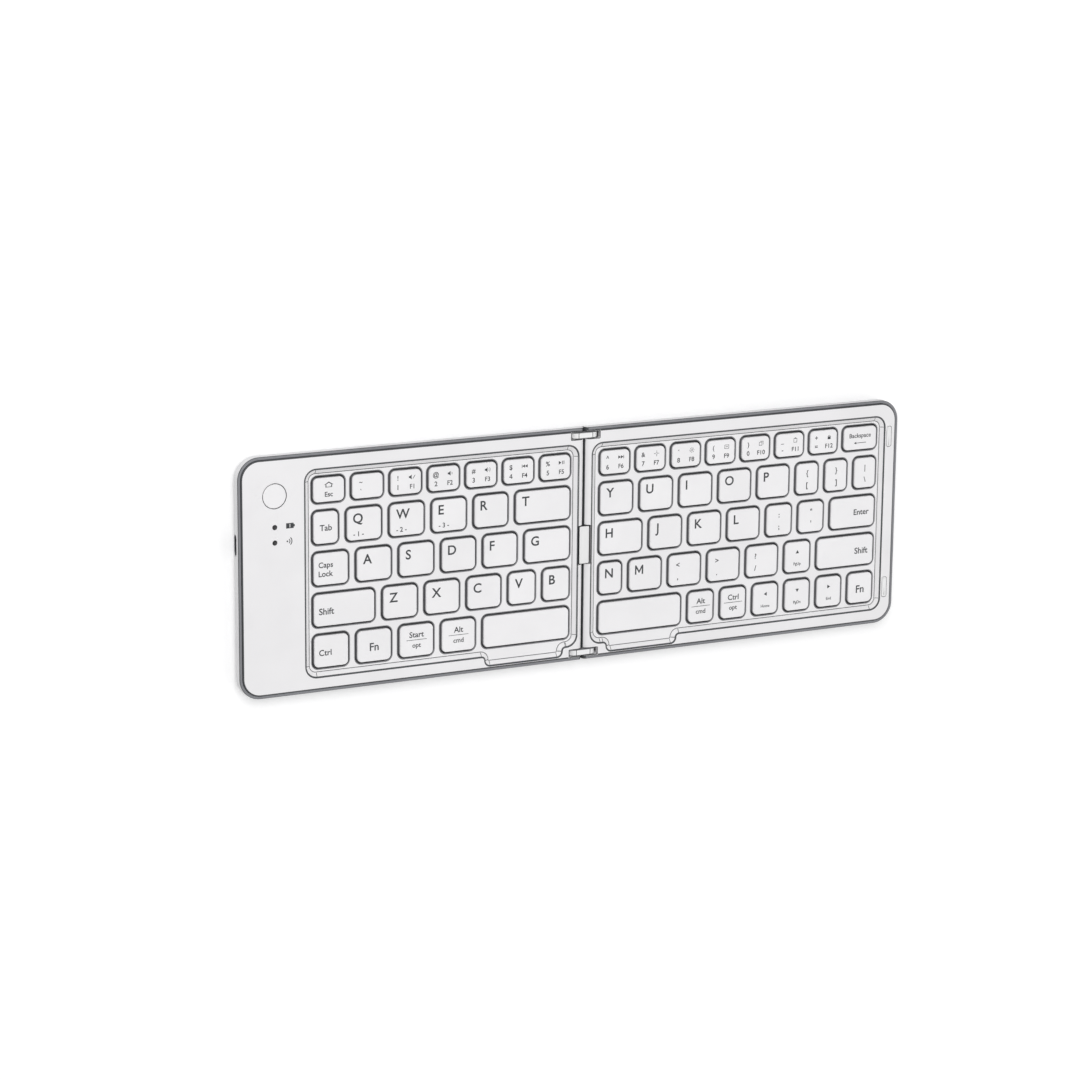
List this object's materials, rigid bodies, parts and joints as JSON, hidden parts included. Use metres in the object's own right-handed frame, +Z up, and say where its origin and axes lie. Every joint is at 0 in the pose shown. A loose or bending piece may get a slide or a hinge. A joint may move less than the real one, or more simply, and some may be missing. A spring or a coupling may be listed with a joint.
{
  "type": "folding keyboard",
  "caption": "Slim folding keyboard: key halves that turn on link plates at the middle, white keys in recessed wells, a light lower shell with a dark lip and a flush round button.",
  "frame": {"origin": "on the table under the middle of the open keyboard", "axes": "+X to the right, +Y to the rear (number row), +Z up out of the keys"},
  "size_m": [0.306, 0.099, 0.0082],
  "materials": {
    "shell_pearl": "light moulding with a dark grey lip",
    "cover_white": "fine matt moulding",
    "keycap_white": "matt moulded cap with grey lettering",
    "plate_metal": "rolled sheet",
    "membrane_film": "printed polyester film",
    "dome_rubber": "grey silicone rubber",
    "scissor_plastic": "grey acetal",
    "screw_steel": "blackened steel",
    "foot_rubber": "matt rubber",
    "magnet_nickel": "nickel plated",
    "board_green": "solder mask",
    "battery_foil": "pouch foil",
    "switch_black": "black nylon",
    "button_white": "matt moulding",
    "light_smoke": "smoked light pipe",
    "port_steel": "drawn steel shell",
    "bumper_rubber": "soft light grey rubber",
    "link_metal": "white lacquered steel, edges left dark",
    "pin_steel": "ground steel",
    "sleeve_rubber": "soft light rubber",
    "ribbon_film": "polyimide film"
  },
  "bodies": {
    "left_half": {"left_bottom_cover": "shell_pearl", "left_top_cover": "cover_white", "left_base_plate": "plate_metal", "left_membrane": "membrane_film", "left_rubber_domes": "dome_rubber", "left_scissors": "scissor_plastic", "left_screws": "screw_steel", "left_feet": "foot_rubber", "left_magnets": "magnet_nickel", "main_board": "board_green", "battery": "battery_foil", "tact_switch": "switch_black", "indicator_lights": "light_smoke", "charge_port": "port_steel"},
    "hinge": {"hinge_links": "link_metal", "hinge_pins": "pin_steel", "cable_sleeve": "sleeve_rubber", "ribbon_cable": "ribbon_film"},
    "right_half": {"right_bottom_cover": "shell_pearl", "right_top_cover": "cover_white", "right_base_plate": "plate_metal", "right_membrane": "membrane_film", "right_rubber_domes": "dome_rubber", "right_scissors": "scissor_plastic", "right_screws": "screw_steel", "right_feet": "foot_rubber", "right_magnets": "magnet_nickel", "closing_bumpers": "bumper_rubber"},
    "connect_button": {"connect_button": "button_white"},
    "key_space_left": {"key_space_left": "keycap_white"},
    "keys_ctrl_fn_start_alt": {"keys_ctrl_fn_start_alt": "keycap_white"},
    "keys_v_b": {"keys_v_b": "keycap_white"},
    "keys_z_x_c": {"keys_z_x_c": "keycap_white"},
    "key_shift_left": {"key_shift_left": "keycap_white"},
    "key_g": {"key_g": "keycap_white"},
    "keys_a_s_d_f": {"keys_a_s_d_f": "keycap_white"},
    "key_caps_lock": {"key_caps_lock": "keycap_white"},
    "key_t": {"key_t": "keycap_white"},
    "keys_q_w_e_r": {"keys_q_w_e_r": "keycap_white"},
    "key_tab": {"key_tab": "keycap_white"},
    "keys_1_to_5": {"keys_1_to_5": "keycap_white"},
    "key_escape": {"key_escape": "keycap_white"},
    "key_space_right": {"key_space_right": "keycap_white"},
    "keys_alt_ctrl": {"keys_alt_ctrl": "keycap_white"},
    "keys_left_down_right": {"keys_left_down_right": "keycap_white"},
    "key_fn_right": {"key_fn_right": "keycap_white"},
    "key_n": {"key_n": "keycap_white"},
    "keys_m_comma_dot_slash": {"keys_m_comma_dot_slash": "keycap_white"},
    "key_up": {"key_up": "keycap_white"},
    "key_shift_right": {"key_shift_right": "keycap_white"},
    "key_h": {"key_h": "keycap_white"},
    "keys_j_k_l": {"keys_j_k_l": "keycap_white"},
    "keys_semicolon_quote": {"keys_semicolon_quote": "keycap_white"},
    "key_enter": {"key_enter": "keycap_white"},
    "keys_y_u_i_o_p": {"keys_y_u_i_o_p": "keycap_white"},
    "keys_brackets": {"keys_brackets": "keycap_white"},
    "keys_6_to_equals": {"keys_6_to_equals": "keycap_white"},
    "key_backspace": {"key_backspace": "keycap_white"}
  },
  "joints": [
    {"name": "fold_left", "type": "hinge", "parent": "left_half", "child": "hinge", "pos_m": [-0.0022, 0, 0.005], "axis": [0, -1, 0], "range_deg": [0, 90], "deforming": ["cable_sleeve", "ribbon_cable"]},
    {"name": "fold_right", "type": "hinge", "parent": "hinge", "child": "right_half", "pos_m": [0.0042, 0, 0.005], "axis": [0, -1, 0], "range_deg": [0, 90], "deforming": ["cable_sleeve", "ribbon_cable"]},
    {"name": "key_space_left_press", "type": "slide", "parent": "left_half", "child": "key_space_left", "axis": [0, 0, -1], "range_m": [0, 0.0015], "stiffness_N_per_m": 350, "springref_m": -0.0005, "deforming": ["left_rubber_domes", "left_scissors"]},
    {"name": "keys_ctrl_fn_start_alt_press", "type": "slide", "parent": "left_half", "child": "keys_ctrl_fn_start_alt", "axis": [0, 0, -1], "range_m": [0, 0.0015], "stiffness_N_per_m": 1400, "springref_m": -0.0005, "deforming": ["left_rubber_domes", "left_scissors"]},
    {"name": "keys_v_b_press", "type": "slide", "parent": "left_half", "child": "keys_v_b", "axis": [0, 0, -1], "range_m": [0, 0.0015], "stiffness_N_per_m": 700, "springref_m": -0.0005, "deforming": ["left_rubber_domes", "left_scissors"]},
    {"name": "keys_z_x_c_press", "type": "slide", "parent": "left_half", "child": "keys_z_x_c", "axis": [0, 0, -1], "range_m": [0, 0.0015], "stiffness_N_per_m": 1050, "springref_m": -0.0005, "deforming": ["left_rubber_domes", "left_scissors"]},
    {"name": "key_shift_left_press", "type": "slide", "parent": "left_half", "child": "key_shift_left", "axis": [0, 0, -1], "range_m": [0, 0.0015], "stiffness_N_per_m": 350, "springref_m": -0.0005, "deforming": ["left_rubber_domes", "left_scissors"]},
    {"name": "key_g_press", "type": "slide", "parent": "left_half", "child": "key_g", "axis": [0, 0, -1], "range_m": [0, 0.0015], "stiffness_N_per_m": 350, "springref_m": -0.0005, "deforming": ["left_rubber_domes", "left_scissors"]},
    {"name": "keys_a_s_d_f_press", "type": "slide", "parent": "left_half", "child": "keys_a_s_d_f", "axis": [0, 0, -1], "range_m": [0, 0.0015], "stiffness_N_per_m": 1400, "springref_m": -0.0005, "deforming": ["left_rubber_domes", "left_scissors"]},
    {"name": "key_caps_lock_press", "type": "slide", "parent": "left_half", "child": "key_caps_lock", "axis": [0, 0, -1], "range_m": [0, 0.0015], "stiffness_N_per_m": 350, "springref_m": -0.0005, "deforming": ["left_rubber_domes", "left_scissors"]},
    {"name": "key_t_press", "type": "slide", "parent": "left_half", "child": "key_t", "axis": [0, 0, -1], "range_m": [0, 0.0015], "stiffness_N_per_m": 350, "springref_m": -0.0005, "deforming": ["left_rubber_domes", "left_scissors"]},
    {"name": "keys_q_w_e_r_press", "type": "slide", "parent": "left_half", "child": "keys_q_w_e_r", "axis": [0, 0, -1], "range_m": [0, 0.0015], "stiffness_N_per_m": 1400, "springref_m": -0.0005, "deforming": ["left_rubber_domes", "left_scissors"]},
    {"name": "key_tab_press", "type": "slide", "parent": "left_half", "child": "key_tab", "axis": [0, 0, -1], "range_m": [0, 0.0015], "stiffness_N_per_m": 350, "springref_m": -0.0005, "deforming": ["left_rubber_domes", "left_scissors"]},
    {"name": "keys_1_to_5_press", "type": "slide", "parent": "left_half", "child": "keys_1_to_5", "axis": [0, 0, -1], "range_m": [0, 0.0015], "stiffness_N_per_m": 2100, "springref_m": -0.0005, "deforming": ["left_rubber_domes", "left_scissors"]},
    {"name": "key_escape_press", "type": "slide", "parent": "left_half", "child": "key_escape", "axis": [0, 0, -1], "range_m": [0, 0.0015], "stiffness_N_per_m": 350, "springref_m": -0.0005, "deforming": ["left_rubber_domes", "left_scissors"]},
    {"name": "key_space_right_press", "type": "slide", "parent": "right_half", "child": "key_space_right", "axis": [0, 0, -1], "range_m": [0, 0.0015], "stiffness_N_per_m": 350, "springref_m": -0.0005, "deforming": ["right_rubber_domes", "right_scissors"]},
    {"name": "keys_alt_ctrl_press", "type": "slide", "parent": "right_half", "child": "keys_alt_ctrl", "axis": [0, 0, -1], "range_m": [0, 0.0015], "stiffness_N_per_m": 700, "springref_m": -0.0005, "deforming": ["right_rubber_domes", "right_scissors"]},
    {"name": "keys_left_down_right_press", "type": "slide", "parent": "right_half", "child": "keys_left_down_right", "axis": [0, 0, -1], "range_m": [0, 0.0015], "stiffness_N_per_m": 1050, "springref_m": -0.0005, "deforming": ["right_rubber_domes", "right_scissors"]},
    {"name": "key_fn_right_press", "type": "slide", "parent": "right_half", "child": "key_fn_right", "axis": [0, 0, -1], "range_m": [0, 0.0015], "stiffness_N_per_m": 350, "springref_m": -0.0005, "deforming": ["right_rubber_domes", "right_scissors"]},
    {"name": "key_n_press", "type": "slide", "parent": "right_half", "child": "key_n", "axis": [0, 0, -1], "range_m": [0, 0.0015], "stiffness_N_per_m": 350, "springref_m": -0.0005, "deforming": ["right_rubber_domes", "right_scissors"]},
    {"name": "keys_m_comma_dot_slash_press", "type": "slide", "parent": "right_half", "child": "keys_m_comma_dot_slash", "axis": [0, 0, -1], "range_m": [0, 0.0015], "stiffness_N_per_m": 1400, "springref_m": -0.0005, "deforming": ["right_rubber_domes", "right_scissors"]},
    {"name": "key_up_press", "type": "slide", "parent": "right_half", "child": "key_up", "axis": [0, 0, -1], "range_m": [0, 0.0015], "stiffness_N_per_m": 350, "springref_m": -0.0005, "deforming": ["right_rubber_domes", "right_scissors"]},
    {"name": "key_shift_right_press", "type": "slide", "parent": "right_half", "child": "key_shift_right", "axis": [0, 0, -1], "range_m": [0, 0.0015], "stiffness_N_per_m": 350, "springref_m": -0.0005, "deforming": ["right_rubber_domes", "right_scissors"]},
    {"name": "key_h_press", "type": "slide", "parent": "right_half", "child": "key_h", "axis": [0, 0, -1], "range_m": [0, 0.0015], "stiffness_N_per_m": 350, "springref_m": -0.0005, "deforming": ["right_rubber_domes", "right_scissors"]},
    {"name": "keys_j_k_l_press", "type": "slide", "parent": "right_half", "child": "keys_j_k_l", "axis": [0, 0, -1], "range_m": [0, 0.0015], "stiffness_N_per_m": 1050, "springref_m": -0.0005, "deforming": ["right_rubber_domes", "right_scissors"]},
    {"name": "keys_semicolon_quote_press", "type": "slide", "parent": "right_half", "child": "keys_semicolon_quote", "axis": [0, 0, -1], "range_m": [0, 0.0015], "stiffness_N_per_m": 700, "springref_m": -0.0005, "deforming": ["right_rubber_domes", "right_scissors"]},
    {"name": "key_enter_press", "type": "slide", "parent": "right_half", "child": "key_enter", "axis": [0, 0, -1], "range_m": [0, 0.0015], "stiffness_N_per_m": 350, "springref_m": -0.0005, "deforming": ["right_rubber_domes", "right_scissors"]},
    {"name": "keys_y_u_i_o_p_press", "type": "slide", "parent": "right_half", "child": "keys_y_u_i_o_p", "axis": [0, 0, -1], "range_m": [0, 0.0015], "stiffness_N_per_m": 1750, "springref_m": -0.0005, "deforming": ["right_rubber_domes", "right_scissors"]},
    {"name": "keys_brackets_press", "type": "slide", "parent": "right_half", "child": "keys_brackets", "axis": [0, 0, -1], "range_m": [0, 0.0015], "stiffness_N_per_m": 1050, "springref_m": -0.0005, "deforming": ["right_rubber_domes", "right_scissors"]},
    {"name": "keys_6_to_equals_press", "type": "slide", "parent": "right_half", "child": "keys_6_to_equals", "axis": [0, 0, -1], "range_m": [0, 0.0015], "stiffness_N_per_m": 2450, "springref_m": -0.0005, "deforming": ["right_rubber_domes", "right_scissors"]},
    {"name": "key_backspace_press", "type": "slide", "parent": "right_half", "child": "key_backspace", "axis": [0, 0, -1], "range_m": [0, 0.0015], "stiffness_N_per_m": 350, "springref_m": -0.0005, "deforming": ["right_rubber_domes", "right_scissors"]},
    {"name": "power_press", "type": "slide", "parent": "left_half", "child": "connect_button", "axis": [0, 0, -1], "range_m": [0, 0.0004], "stiffness_N_per_m": 1500, "springref_m": -0.0004}
  ]
}
